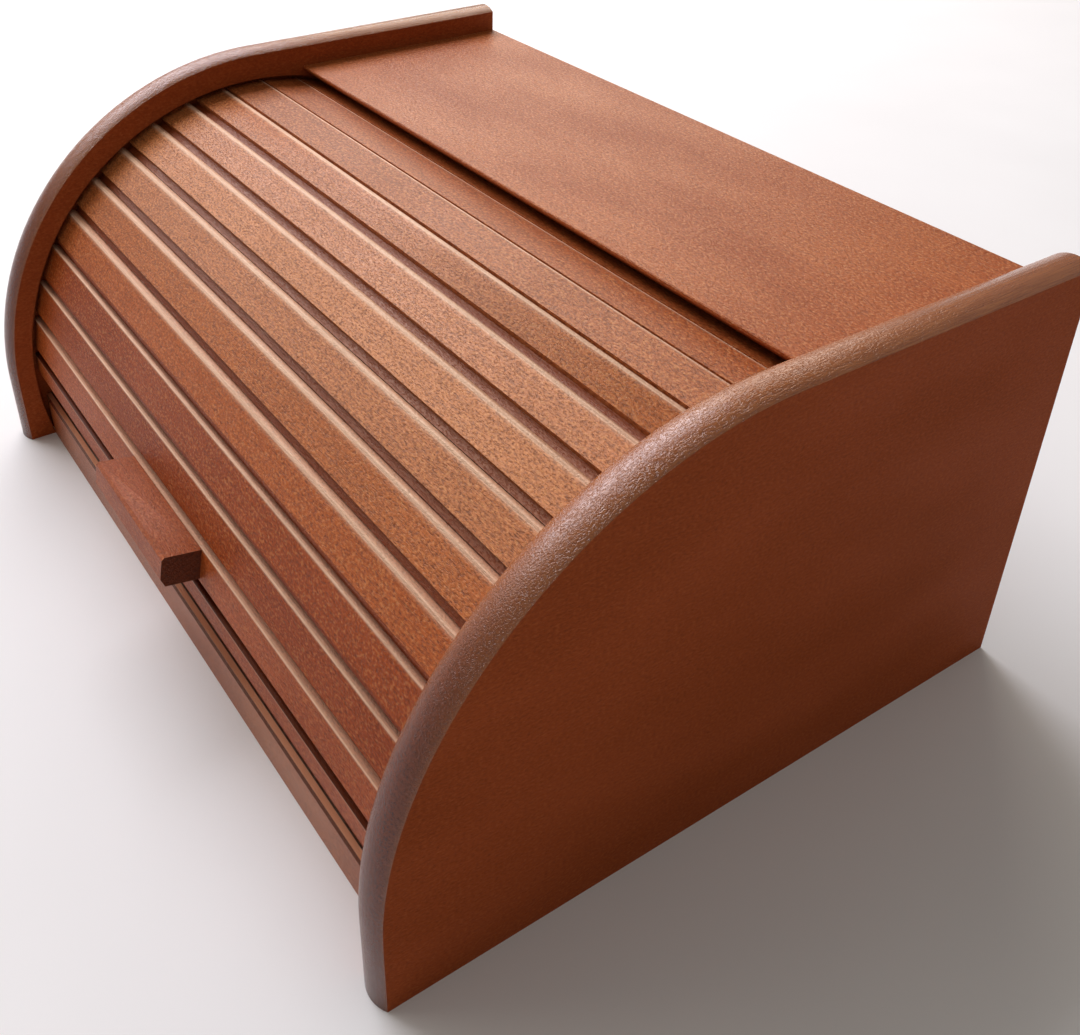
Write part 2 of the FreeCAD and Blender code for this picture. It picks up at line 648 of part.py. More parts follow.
# ---------------------------------------------------------------- check and write
doc.recompute()
nodes = [*panels, top_board, base_board, back_board, rail, top_dowels, base_dowels, rail_dowels,
         back_screws, *slats, canvas, handle, screws]
for item in doc.Objects:
    if {"Invalid", "Error"} & set(item.State):
        raise RuntimeError(f"{item.Name} failed: {item.State}")
os.makedirs("parts", exist_ok=True)
for node in nodes:
    shape = node.Shape
    if shape.isNull() or not shape.isValid() or not shape.Solids:
        raise RuntimeError(f"{node.Label} has no valid solid")
    shape.exportStep(f"parts/{node.Label}.step")
    box = shape.BoundBox
    print(f"{node.Label:20s} solids {len(shape.Solids):2d}  volume {shape.Volume / 1000:9.2f} cm3  "
          f"X {box.XMin:7.1f} {box.XMax:7.1f}  Y {box.YMin:7.1f} {box.YMax:7.1f}  "
          f"Z {box.ZMin:6.1f} {box.ZMax:6.1f}")
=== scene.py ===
"""Bread box with a roll top, in stained and satin-varnished beech.

Everything is in metres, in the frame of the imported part: X across the box, Y from front to back,
Z up from the surface that the box stands on.
"""
import json
import math

import bmesh
import bpy
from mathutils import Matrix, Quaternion, Vector


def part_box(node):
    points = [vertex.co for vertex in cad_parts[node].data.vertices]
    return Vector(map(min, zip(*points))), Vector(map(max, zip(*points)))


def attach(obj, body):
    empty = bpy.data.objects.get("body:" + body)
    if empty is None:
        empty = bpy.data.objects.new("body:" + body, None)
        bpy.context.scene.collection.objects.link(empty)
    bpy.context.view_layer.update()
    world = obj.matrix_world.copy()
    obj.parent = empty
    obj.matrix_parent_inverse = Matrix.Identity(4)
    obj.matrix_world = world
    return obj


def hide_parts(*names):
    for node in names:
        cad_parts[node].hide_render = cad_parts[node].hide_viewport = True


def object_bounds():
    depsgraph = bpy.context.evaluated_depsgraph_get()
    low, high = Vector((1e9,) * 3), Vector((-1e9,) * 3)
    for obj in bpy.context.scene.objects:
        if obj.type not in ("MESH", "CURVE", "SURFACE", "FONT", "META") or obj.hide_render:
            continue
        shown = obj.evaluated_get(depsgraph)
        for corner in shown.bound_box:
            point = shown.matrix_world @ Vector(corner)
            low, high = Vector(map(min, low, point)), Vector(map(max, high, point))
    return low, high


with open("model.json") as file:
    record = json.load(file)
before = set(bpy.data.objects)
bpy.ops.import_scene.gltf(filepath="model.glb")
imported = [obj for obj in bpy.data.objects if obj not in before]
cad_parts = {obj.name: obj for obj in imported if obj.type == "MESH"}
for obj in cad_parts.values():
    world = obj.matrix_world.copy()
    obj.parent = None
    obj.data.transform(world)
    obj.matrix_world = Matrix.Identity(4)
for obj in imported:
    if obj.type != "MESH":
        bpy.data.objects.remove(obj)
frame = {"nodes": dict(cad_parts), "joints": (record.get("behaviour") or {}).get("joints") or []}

cad_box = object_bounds()
MM = 0.001

# ---------------------------------------------------------------- the curtain's track
TRACK_MIDDLE = Vector(frame["joints"][0]["pos_m"])
SLATS = sorted(name for name in frame["nodes"] if name.startswith("slat_"))
SLAT_ANGLE = 8.65       # degrees from one slat to the next
LEAD_ANGLE = 6.4        # degrees from the front up to the leading slat's upper side
SLAT_PITCH_MM = 20.1    # along the faces
# What the shaped edges take of the pitch.
ROUND_SHARE = 2.8 / SLAT_PITCH_MM
SMALL_ROUND_SHARE = 1.4 / SLAT_PITCH_MM     # on slats 1 to 4 and 11 to 13
STRIP_SHARE = 3.5 / SLAT_PITCH_MM


# ---------------------------------------------------------------- material helpers
def linear(hex_colour):
    """sRGB hex to a linear colour with alpha."""
    channels = [int(hex_colour[i:i + 2], 16) / 255 for i in (1, 3, 5)]
    return (*(c / 12.92 if c <= 0.04045 else ((c + 0.055) / 1.055) ** 2.4 for c in channels), 1.0)


def add_node(tree, kind, inputs, **settings):
    """A node with its settings; an input is a number, a hex colour or another node's output."""
    node = tree.nodes.new(kind)
    for name, value in settings.items():
        setattr(node, name, value)
    for socket, value in inputs.items():
        if isinstance(value, bpy.types.NodeSocket):
            tree.links.new(value, node.inputs[socket])
        elif isinstance(value, str):
            node.inputs[socket].default_value = linear(value)
        else:
            node.inputs[socket].default_value = value
    return node


def new_material(name):
    """A material that has no nodes yet, and its node tree."""
    material = bpy.data.materials.new(name)
    material.use_nodes = True
    tree = material.node_tree
    tree.nodes.clear()
    return material, tree


def finish_surface(tree, inputs):
    """The surface that every material ends in."""
    shader = add_node(tree, "ShaderNodeBsdfPrincipled", inputs)
    add_node(tree, "ShaderNodeOutputMaterial", {"Surface": shader.outputs["BSDF"]})


def lay_over(tree, colour, over, pattern, start=0.0, end=1.0, weakest=0.0, strongest=1.0):
    """One colour laid over another. It goes from its weakest to its strongest as the pattern
    goes from start to end."""
    strength = add_node(tree, "ShaderNodeMapRange", {
        "Value": pattern, "From Min": start, "From Max": end, "To Min": weakest,
        "To Max": strongest})
    laid = add_node(tree, "ShaderNodeMix", {
        "Factor": strength.outputs["Result"], "A": colour, "B": over}, data_type="RGBA")
    return laid.outputs[2]      # the result as a colour


# ---------------------------------------------------------------- wood
GRAIN_TURNS = {"X": (0, 0, 0), "Y": (0, 0, math.radians(-90))}
GRAIN_AXES = {"X": (1, 0, 0), "Y": (0, 1, 0)}
FIBRE_MM = (14, 0.4, 0.4)       # length along the grain, and widths across it
FLECK_MM = (1.5, 0.55, 0.55)
PORE_MM = (1.2, 0.85, 0.85)
SPECKLE_MM = (1.5, 0.9, 0.9)
BLOTCH_MM = (95, 38, 38)
WAVER_MM = (90, 30, 30)
WAVER_DEPTH_MM = (0, 9, 9)      # how far the growth rings waver
SHUFFLE_MM = (400, 35, 35)      # how far apart two sticks may lie in the tree
RING_UNIT = 2 * math.pi / 20    # the ring texture's spacing at a scale of 1
RELIEF_DEPTH = 0.11 * MM        # of the open grain under the varnish
VARNISH_TINT = "#FFE2BE"        # the amber of an old varnish
END_PALE, END_DARK = "#7A3820", "#34120C"
CROWN_DEEP, CROWN_PALE = "#7A3614", "#AE6630"
# The rail's top colour stands partly for wear and partly for painted light and sheen; its shut
# line colour is painted shade.
RAIL_ARRIS, RAIL_TOP, RAIL_PAINTED_SHADE_LINE = "#561A0C", "#D2906A", "#2E0C06"
RAIL_SHADE_LINE_Y = -127.8 * MM       # where the shut curtain's shadow line lies on the rail


def grain_patterns(tree, grain, ring_mm, heart_mm, shuffle=None):
    """Growth rings, fibres, flecks and blotches of a solid piece, in millimetres along its grain.
    heart_mm is how far the tree's heart lies from the box's middle, across the grain; shuffle
    moves that from piece to piece."""
    place = add_node(tree, "ShaderNodeTexCoord", {})
    turned = add_node(tree, "ShaderNodeMapping", {
        "Vector": place.outputs["Object"], "Rotation": GRAIN_TURNS[grain],
        "Scale": (1 / MM, 1 / MM, 1 / MM), "Location": (0, *heart_mm)})
    stick = turned.outputs["Vector"]
    if shuffle:
        moved = add_node(tree, "ShaderNodeVectorMath", {0: shuffle, 1: SHUFFLE_MM, 2: stick},
                         operation="MULTIPLY_ADD")
        stick = moved.outputs["Vector"]

    def noise(lengths, detail, roughness):
        stretched = add_node(tree, "ShaderNodeMapping",
                             {"Vector": stick, "Scale": tuple(1 / length for length in lengths)})
        return add_node(tree, "ShaderNodeTexNoise", {
            "Vector": stretched.outputs["Vector"], "Scale": 1, "Detail": detail,
            "Roughness": roughness})

    waver = noise(WAVER_MM, 2, 0.5)
    bent = add_node(tree, "ShaderNodeVectorMath",
                    {0: waver.outputs["Color"], 1: WAVER_DEPTH_MM, 2: stick},
                    operation="MULTIPLY_ADD")
    rings = add_node(tree, "ShaderNodeTexWave", {
        "Vector": bent.outputs["Vector"], "Scale": RING_UNIT / ring_mm, "Distortion": 0.4,
        "Detail": 2, "Detail Scale": 0.6}, wave_type="RINGS", rings_direction="X",
        wave_profile="SAW")
    fibres = noise(FIBRE_MM, 3, 0.6)
    fleck_noise = noise(FLECK_MM, 2, 0.6)
    flecks = add_node(tree, "ShaderNodeMapRange", {
        "Value": fleck_noise.outputs["Fac"], "From Min": 0.5, "From Max": 0.68})
    blotches = noise(BLOTCH_MM, 3, 0.5)
    pores = noise(PORE_MM, 2, 0.7)
    speckle = noise(SPECKLE_MM, 1, 0.5)
    along = add_node(tree, "ShaderNodeVectorMath",
                     {0: place.outputs["Normal"], 1: GRAIN_AXES[grain]}, operation="DOT_PRODUCT")
    facing = add_node(tree, "ShaderNodeMath", {0: along.outputs["Value"]}, operation="ABSOLUTE")
    end_grain = add_node(tree, "ShaderNodeMapRange", {
        "Value": facing.outputs["Value"], "From Min": 0.45, "From Max": 0.95},
        interpolation_type="SMOOTHSTEP")
    return {
        "rings": rings.outputs["Fac"],
        "fibres": fibres.outputs["Fac"],
        "flecks": flecks.outputs["Result"],
        "blotches": blotches.outputs["Fac"],
        "pores": pores.outputs["Fac"],
        "speckle": speckle.outputs["Fac"],
        "end_grain": end_grain.outputs["Result"],
        "normal": place.outputs["Normal"],
        "place": place.outputs["Object"],
    }


def end_grain_over(tree, colour, wood, soaked):
    """Cut ends drink the stain: dark and dull, with the rings and open pores still to be seen."""
    cut_end = lay_over(tree, soaked, END_PALE, wood["rings"], 0.1, 1.0, 0, 0.55)
    cut_end = lay_over(tree, cut_end, END_DARK, wood["pores"], 0.45, 0.7, 0, 0.75)
    return lay_over(tree, colour, cut_end, wood["end_grain"])


def speckle_over(tree, colour, wood, pale, soaked, strength):
    """Open-grained beech takes the stain unevenly: a fine mottle of pale and dark dots."""
    colour = lay_over(tree, colour, pale, wood["speckle"], 0.52, 0.7, 0, strength)
    return lay_over(tree, colour, soaked, wood["speckle"], 0.48, 0.3, 0, strength)


def rail_wear_and_painted_light_over(tree, colour, wood):
    """The rail's top is painted pale in front of the curtain, partly rubbed wear and partly
    painted light and sheen. Its eased arris is darker, and the line where the curtain closes on it
    is painted shade."""
    up = add_node(tree, "ShaderNodeVectorMath", {0: wood["normal"], 1: (0, 0, 1)},
                  operation="DOT_PRODUCT")
    colour = lay_over(tree, colour, RAIL_ARRIS, up.outputs["Value"], 0.2, 0.5)
    # Painted light: the rail's upward face is painted paler, partly as wear and partly for the
    # light and sheen falling on it.
    colour = lay_over(tree, colour, RAIL_TOP, up.outputs["Value"], 0.85, 0.97)
    parts = add_node(tree, "ShaderNodeSeparateXYZ", {0: wood["place"]})
    from_line = add_node(tree, "ShaderNodeMath", {0: parts.outputs["Y"], 1: -RAIL_SHADE_LINE_Y},
                         operation="ADD")
    off_line = add_node(tree, "ShaderNodeMath", {0: from_line.outputs["Value"]},
                        operation="ABSOLUTE")
    # Painted shade: a dark line on the rail's top where the curtain's overhang shades it.
    return lay_over(tree, colour, RAIL_PAINTED_SHADE_LINE, off_line.outputs["Value"], 0.65 * MM, 0.45 * MM)


def crown_share(tree, wood):
    """1 on a side panel's crowned edge, 0 on its flat faces."""
    sideways = add_node(tree, "ShaderNodeVectorMath", {0: wood["normal"], 1: (1, 0, 0)},
                        operation="DOT_PRODUCT")
    flat_face = add_node(tree, "ShaderNodeMath", {0: sideways.outputs["Value"]},
                         operation="ABSOLUTE")
    crown = add_node(tree, "ShaderNodeMapRange", {
        "Value": flat_face.outputs["Value"], "From Min": 0.97, "From Max": 0.8})
    return crown.outputs["Result"]


def finish_varnish(tree, wood, colour, roughness, sheen=0.3, crown_roughness=None):
    """The satin varnish over the wood; the open grain still shows through as a fine relief.
    A side panel's crowned edge is rubbed smoother than its flat faces, down to
    crown_roughness."""
    relief = add_node(tree, "ShaderNodeMath", {0: wood["fibres"], 1: wood["flecks"]},
                      operation="SUBTRACT")
    pore_depth = add_node(tree, "ShaderNodeMapRange", {
        "Value": wood["end_grain"], "To Min": 1.4, "To Max": 2.2})
    open_pores = add_node(tree, "ShaderNodeMath", {
        0: wood["pores"], 1: pore_depth.outputs["Result"], 2: relief.outputs["Value"]},
        operation="MULTIPLY_ADD")
    bump = add_node(tree, "ShaderNodeBump", {
        "Height": open_pores.outputs["Value"], "Strength": 1.0, "Distance": RELIEF_DEPTH})
    clouded = add_node(tree, "ShaderNodeMapRange", {
        "Value": wood["blotches"], "From Min": 0.3, "From Max": 0.7, "To Min": roughness,
        "To Max": roughness + 0.1})
    surface = {
        "Base Color": colour,
        "Roughness": clouded.outputs["Result"],
        "Normal": bump.outputs["Normal"],
        "IOR": 1.5,
        "Specular IOR Level": sheen,
        "Specular Tint": VARNISH_TINT,
    }
    if crown_roughness:
        crown = crown_share(tree, wood)
        rubbed = add_node(tree, "ShaderNodeMapRange", {
            "Value": crown, "To Min": surface["Roughness"], "To Max": crown_roughness})
        crown_sheen = add_node(tree, "ShaderNodeMapRange", {
            "Value": wood["end_grain"], "To Min": 0.9, "To Max": 0.35})
        panel_sheen = add_node(tree, "ShaderNodeMapRange", {
            "Value": crown, "To Min": 0.06, "To Max": crown_sheen.outputs["Result"]})
        surface["Roughness"] = rubbed.outputs["Result"]
        surface["Specular IOR Level"] = panel_sheen.outputs["Result"]
        surface["Specular Tint"] = "#FFFFFF"
    finish_surface(tree, surface)


def stained_beech(name, grain, light, deep, soaked, pale="#E09A62", ring_mm=2.6,
                  heart_mm=(70, 50), contrast=1.0, speckle=0.4, roughness=0.4,
                  crown_roughness=None, rail=False):
    """Beech, sanded, stained red-brown and given a satin varnish: fine dark flecks and faint
    rings under a soft sheen, and darker end grain where the stain has soaked in."""
    material, tree = new_material(name)
    wood = grain_patterns(tree, grain, ring_mm, heart_mm)
    colour = lay_over(tree, light, deep, wood["blotches"], 0.35, 0.68)
    colour = lay_over(tree, colour, soaked, wood["fibres"], 0.4, 0.75, 0, 0.38 * contrast)
    colour = lay_over(tree, colour, soaked, wood["rings"], 0.55, 1.0, 0, 0.2 * contrast)
    colour = lay_over(tree, colour, soaked, wood["flecks"], 0, 1, 0, 0.5 * contrast)
    colour = speckle_over(tree, colour, wood, pale, soaked, speckle)
    if rail:
        colour = rail_wear_and_painted_light_over(tree, colour, wood)
    if crown_roughness:
        rubbed = lay_over(tree, CROWN_DEEP, CROWN_PALE, wood["fibres"], 0.3, 0.65, 0.25, 0.95)
        colour = lay_over(tree, colour, rubbed, crown_share(tree, wood))
    colour = end_grain_over(tree, colour, wood, soaked)
    finish_varnish(tree, wood, colour, roughness, 0.7 if rail else 0.3, crown_roughness)
    return material


# ---------------------------------------------------------------- the slats' wood
SLAT_PALE = "#E09A5E"
# A paler tone painted on the middle slats where the light and sheen fall: painted light.
SLAT_PAINTED_LIGHT = "#D8894E"
COUNT_LIMIT = 20                # more slats than the curtain has
STICK_CONTRAST = 0.22           # how much lighter or darker one slat's wood may be
# Looks that change up the curtain. Slats count from 0, the leading one; each row gives the two
# numbers between which a look changes, and what it changes from and to.
SLAT_LOOKS = {
    "leading": (0.6, 0.4, 0, 1),
    "low_slat": (3.6, 3.4, 0, 1),       # slats 1 to 4, with a small round
    "plain": (9.4, 9.6, 0, 1),          # slats 11 to 13, with a small round and no strip
    # painted light: the middle slats painted paler where the light and sheen fall
    "painted_light_band": (7, 11, 0.75, 0.2),
    # Partly painted glints: the speckle grows stronger on the slats where the sheen falls.
    "speckle": (2, 6, 0.24, 0.45),
    "sheen": (2, 6, 0.14, 0.42),
}


def number_and_height(tree):
    """The number of the slat, from 0 up, and how far up its face a spot lies, from 0 to 1."""
    place = add_node(tree, "ShaderNodeTexCoord", {})
    from_middle = add_node(tree, "ShaderNodeVectorMath",
                           {0: place.outputs["Object"], 1: TRACK_MIDDLE}, operation="SUBTRACT")
    parts = add_node(tree, "ShaderNodeSeparateXYZ", {0: from_middle.outputs["Vector"]})
    forward = add_node(tree, "ShaderNodeMath", {0: parts.outputs["Y"], 1: -1.0},
                       operation="MULTIPLY")
    turn = add_node(tree, "ShaderNodeMath", {0: parts.outputs["Z"], 1: forward.outputs["Value"]},
                    operation="ARCTAN2")
    first_turn = math.radians(LEAD_ANGLE - SLAT_ANGLE)
    last_turn = first_turn + math.radians(SLAT_ANGLE) * COUNT_LIMIT
    count = add_node(tree, "ShaderNodeMapRange", {
        "Value": turn.outputs["Value"], "From Min": first_turn, "From Max": last_turn,
        "To Max": COUNT_LIMIT})
    number = add_node(tree, "ShaderNodeMath", {0: count.outputs["Result"]}, operation="FLOOR")
    height = add_node(tree, "ShaderNodeMath", {0: count.outputs["Result"]}, operation="FRACT")
    return number.outputs["Value"], height.outputs["Value"]


def round_position(tree, height, looks):
    """0 at a slat's upper side and 1 where its rounded upper edge starts."""
    small = add_node(tree, "ShaderNodeMath", {0: looks["low_slat"], 1: looks["plain"]},
                     operation="ADD")
    round_share = add_node(tree, "ShaderNodeMapRange", {
        "Value": small.outputs["Value"], "To Min": ROUND_SHARE, "To Max": SMALL_ROUND_SHARE})
    below_top = add_node(tree, "ShaderNodeMath", {0: 1.0, 1: height}, operation="SUBTRACT")
    position = add_node(tree, "ShaderNodeMath", {
        0: below_top.outputs["Value"], 1: round_share.outputs["Result"]}, operation="DIVIDE")
    return position.outputs["Value"]


def slat_wear_and_painted_light_over(tree, colour, wood, height, looks, soaked, rubbed, painted_strip_shade):
    """The stain is rubbed thin on the rounded upper edge and a patchy pale line runs along its
    start, both partly wear and partly painted sheen. The sunk strip and the leading slat's upper
    edge get painted shade."""
    position = round_position(tree, height, looks)
    # Partly painted sheen: the rounded upper edge is painted paler, for stain rubbed thin and for
    # the light it catches.
    colour = lay_over(tree, colour, rubbed, position, 1.6, 0.9, 0, 0.3)
    line_start = add_node(tree, "ShaderNodeMapRange", {
        "Value": position, "From Min": 1.15, "From Max": 0.95})
    line_end = add_node(tree, "ShaderNodeMapRange", {
        "Value": position, "From Min": 0.35, "From Max": 0.6, "To Min": 0.3})
    line = add_node(tree, "ShaderNodeMath", {
        0: line_start.outputs["Result"], 1: line_end.outputs["Result"]}, operation="MULTIPLY")
    worn = add_node(tree, "ShaderNodeMapRange", {
        "Value": wood["fibres"], "From Min": 0.3, "From Max": 0.6, "To Min": 1.0, "To Max": 0.55})
    patchy_line = add_node(tree, "ShaderNodeMath", {
        0: line.outputs["Value"], 1: worn.outputs["Result"]}, operation="MULTIPLY")
    colour = lay_over(tree, colour, rubbed, patchy_line.outputs["Value"])
    # Painted shade in the sunk strip, fading out on the plain slats that have no strip.
    strip_shade_strength = add_node(tree, "ShaderNodeMapRange", {
        "Value": looks["plain"], "To Min": 0.8, "To Max": 0.0})
    colour = lay_over(tree, colour, painted_strip_shade, height, STRIP_SHARE * 0.93, STRIP_SHARE,
                      strip_shade_strength.outputs["Result"], 0)
    # Painted shade on the leading slat's rounded upper edge, in the joint under the slat above.
    upper_edge = add_node(tree, "ShaderNodeMapRange", {
        "Value": position, "From Min": 1.1, "From Max": 0.9})
    leading_edge = add_node(tree, "ShaderNodeMath", {
        0: upper_edge.outputs["Result"], 1: looks["leading"]}, operation="MULTIPLY")
    return lay_over(tree, colour, soaked, leading_edge.outputs["Value"])


def slat_beech(name, light, deep, soaked, rubbed, painted_strip_shade):
    """The slats' beech, stained and varnished like the rest, each slat cut from another stick:
    its own cloud of light and dark, fine flecks, and worn edges with painted sheen and shade.
    The middle slats, which face the daylight, are painted paler: painted light and sheen."""
    material, tree = new_material(name)
    number, height = number_and_height(tree)
    looks = {}
    for look, (start, end, before, after) in SLAT_LOOKS.items():
        changing = add_node(tree, "ShaderNodeMapRange", {
            "Value": number, "From Min": start, "From Max": end, "To Min": before,
            "To Max": after})
        looks[look] = changing.outputs["Result"]
    draw = add_node(tree, "ShaderNodeTexWhiteNoise", {"W": number}, noise_dimensions="1D")
    wood = grain_patterns(tree, "X", 2.3, (60, 40), shuffle=draw.outputs["Color"])
    stick = add_node(tree, "ShaderNodeMapRange", {
        "Value": draw.outputs["Value"], "To Min": -STICK_CONTRAST, "To Max": STICK_CONTRAST})
    cloud = add_node(tree, "ShaderNodeMath", {0: wood["blotches"], 1: stick.outputs["Result"]},
                     operation="ADD")
    colour = lay_over(tree, light, deep, cloud.outputs["Value"], 0.3, 0.72)
    # Painted light: the middle slats are painted paler where the light and sheen fall on them.
    colour = lay_over(tree, colour, SLAT_PAINTED_LIGHT, number, 3, 7, 0, looks["painted_light_band"])
    colour = lay_over(tree, colour, soaked, wood["fibres"], 0.4, 0.75, 0, 0.3)
    colour = lay_over(tree, colour, soaked, wood["rings"], 0.55, 1.0, 0, 0.16)
    colour = lay_over(tree, colour, soaked, wood["flecks"], 0, 1, 0, 0.6)
    # The mottle grows with the slat number: partly uneven stain, partly painted glints of the
    # sheen.
    colour = speckle_over(tree, colour, wood, SLAT_PALE, soaked, looks["speckle"])
    colour = slat_wear_and_painted_light_over(tree, colour, wood, height, looks, soaked, rubbed, painted_strip_shade)
    colour = end_grain_over(tree, colour, wood, soaked)
    finish_varnish(tree, wood, colour, 0.36, looks["sheen"])
    return material


# ---------------------------------------------------------------- bare wood and plywood
def stained_plywood():
    """Thin birch plywood for the back, stained once and left without varnish: flat, dry and
    slightly streaked."""
    material, tree = new_material("stained_birch_plywood")
    wood = grain_patterns(tree, "X", 5.5, (90, 15))
    colour = lay_over(tree, "#8A4826", "#6E3318", wood["blotches"], 0.35, 0.7)
    colour = lay_over(tree, colour, "#4E2210", wood["rings"], 0.3, 1.0, 0, 0.4)
    colour = lay_over(tree, colour, "#4E2210", wood["fibres"], 0.4, 0.75, 0, 0.3)
    bump = add_node(tree, "ShaderNodeBump", {
        "Height": wood["fibres"], "Strength": 0.5, "Distance": 0.1 * MM})
    roughness = add_node(tree, "ShaderNodeMapRange", {
        "Value": wood["fibres"], "From Min": 0.3, "From Max": 0.7, "To Min": 0.55,
        "To Max": 0.7})
    finish_surface(tree, {
        "Base Color": colour,
        "Roughness": roughness.outputs["Result"],
        "Normal": bump.outputs["Normal"],
        "IOR": 1.5,
    })
    return material


def raw_beech():
    """Turned beech dowel, bare wood: pale and dry, with short brown flecks along its length."""
    material, tree = new_material("raw_beech_dowel")
    wood = grain_patterns(tree, "X", 1.8, (20, 12))
    colour = lay_over(tree, "#D9B383", "#BE9160", wood["fibres"], 0.35, 0.7)
    colour = lay_over(tree, colour, "#8A5F38", wood["flecks"], 0, 1, 0, 0.5)
    bump = add_node(tree, "ShaderNodeBump", {
        "Height": wood["fibres"], "Strength": 0.5, "Distance": 0.08 * MM})
    finish_surface(tree, {
        "Base Color": colour, "Roughness": 0.62, "Normal": bump.outputs["Normal"], "IOR": 1.5})
    return material


# ---------------------------------------------------------------- metal and cloth
BLOOM_MM = 1.2          # size of the cloudy patches in the zinc
THREAD_MM = 0.9         # spacing of the canvas's threads, drawn coarse enough to show
SLUB_MM = 6.25          # spacing of the thick places in the canvas's yarn


def zinc_plated_steel():
    """Pressed steel screw with bright zinc plating: grey-white, with a faint cloudy bloom."""
    material, tree = new_material("zinc_plated_steel")
    place = add_node(tree, "ShaderNodeTexCoord", {})
    bloom = add_node(tree, "ShaderNodeTexNoise", {
        "Vector": place.outputs["Object"], "Scale": 1 / (BLOOM_MM * MM), "Detail": 3})
    colour = lay_over(tree, "#C4C6C4", "#9A9DA0", bloom.outputs["Fac"], 0.35, 0.7)
    roughness = add_node(tree, "ShaderNodeMapRange", {
        "Value": bloom.outputs["Fac"], "From Min": 0.3, "From Max": 0.7, "To Min": 0.28,
        "To Max": 0.42})
    finish_surface(tree, {
        "Base Color": colour,
        "Metallic": 1.0,
        "Roughness": roughness.outputs["Result"],
    })
    return material


def cotton_canvas():
    """Unbleached cotton duck in plain weave, glued behind the slats: matt, with slubs and a
    thread spacing drawn a little coarse so that the weave shows."""
    material, tree = new_material("cotton_duck_canvas")
    place = add_node(tree, "ShaderNodeTexCoord", {})
    threads = {}
    for way, direction in (("warp", "X"), ("weft", "Y")):
        threads[way] = add_node(tree, "ShaderNodeTexWave", {
            "Vector": place.outputs["UV"], "Scale": RING_UNIT / THREAD_MM, "Distortion": 0.25,
            "Detail Scale": 0.4}, wave_type="BANDS", bands_direction=direction)
    checker = add_node(tree, "ShaderNodeTexChecker",
                       {"Vector": place.outputs["UV"], "Scale": 1 / THREAD_MM})
    weave = add_node(tree, "ShaderNodeMix", {
        "Factor": checker.outputs["Fac"], "A": threads["warp"].outputs["Fac"],
        "B": threads["weft"].outputs["Fac"]}).outputs[0]
    slubs = add_node(tree, "ShaderNodeTexNoise", {
        "Vector": place.outputs["UV"], "Scale": 1 / SLUB_MM, "Detail": 4, "Roughness": 0.65})
    colour = lay_over(tree, "#CDBD9A", "#A9956E", slubs.outputs["Fac"], 0.3, 0.7)
    colour = lay_over(tree, colour, "#6E5B3C", weave, 0, 0.6, 0.45, 0)
    bump = add_node(tree, "ShaderNodeBump", {
        "Height": weave, "Strength": 0.8, "Distance": 0.2 * MM})
    finish_surface(tree, {
        "Base Color": colour, "Roughness": 0.92, "Normal": bump.outputs["Normal"],
        "Sheen Weight": 0.15, "Sheen Roughness": 0.6})
    return material


# ---------------------------------------------------------------- finishes of the CAD pieces
SIDE_WOOD = stained_beech("stained_beech_side", "Y", "#A24C24", "#96451E", "#66301A", "#BC6A38",
                          ring_mm=2.4, heart_mm=(150, 60), contrast=0.3, speckle=0.25,
                          roughness=0.6, crown_roughness=0.16)
TOP_WOOD = stained_beech("stained_beech_top", "X", "#BC6430", "#A85022", "#5E2A14", "#E8A870",
                         ring_mm=3.0, heart_mm=(60, 20), contrast=0.6, speckle=0.35,
                         roughness=0.34)
BASE_WOOD = stained_beech("stained_beech_base", "X", "#A4501F", "#8A3C14", "#4E2310")
RAIL_WOOD = stained_beech("stained_beech_rail", "X", "#B0602F", "#9A4A20", "#5A2210", "#C87C48",
                          speckle=0.25, roughness=0.3, rail=True)
HANDLE_WOOD = stained_beech("stained_beech_handle", "X", "#AA4F24", "#94401A", "#5A2410",
                            "#CC8450", speckle=0.3)
SLAT_WOOD = slat_beech("stained_beech_slat", light="#B25222", deep="#9A4014", soaked="#54200A",
                       rubbed="#F8CFAE", painted_strip_shade="#70260C")
PLYWOOD = stained_plywood()
DOWEL_WOOD = raw_beech()
ZINC = zinc_plated_steel()

FINISHES = {
    "left_side_panel": SIDE_WOOD,
    "right_side_panel": SIDE_WOOD,
    "top_board": TOP_WOOD,
    "base_board": BASE_WOOD,
    "back_board": PLYWOOD,
    "front_rail": RAIL_WOOD,
    "handle": HANDLE_WOOD,
    "top_board_dowels": DOWEL_WOOD,
    "base_board_dowels": DOWEL_WOOD,
    "rail_dowels": DOWEL_WOOD,
    "back_board_screws": ZINC,
    "handle_screws": ZINC,
    **{name: SLAT_WOOD for name in SLATS},
}
EASES_MM = {"left_side_panel": 0.6, "right_side_panel": 0.6, "handle": 0.5, "front_rail": 0.4,
            "top_board": 0.3, "base_board": 0.4, "back_board": 0.3,
            **{name: 0.3 for name in SLATS}}


def ease_edges(node, radius_mm):
    """Sanded edges: every sharp edge gets a small round."""
    weld = node.modifiers.new("joined_faces", "WELD")
    weld.merge_threshold = 0.002 * MM
    bevel = node.modifiers.new("sanded_edges", "BEVEL")
    bevel.width = radius_mm * MM
    bevel.segments = 2
    bevel.limit_method = "ANGLE"
    bevel.angle_limit = math.radians(28)
    bevel.use_clamp_overlap = True
    bevel.harden_normals = True


for name, material in FINISHES.items():
    node = frame["nodes"][name]
    node.data.materials.clear()
    node.data.materials.append(material)
    if name in EASES_MM:
        ease_edges(node, EASES_MM[name])


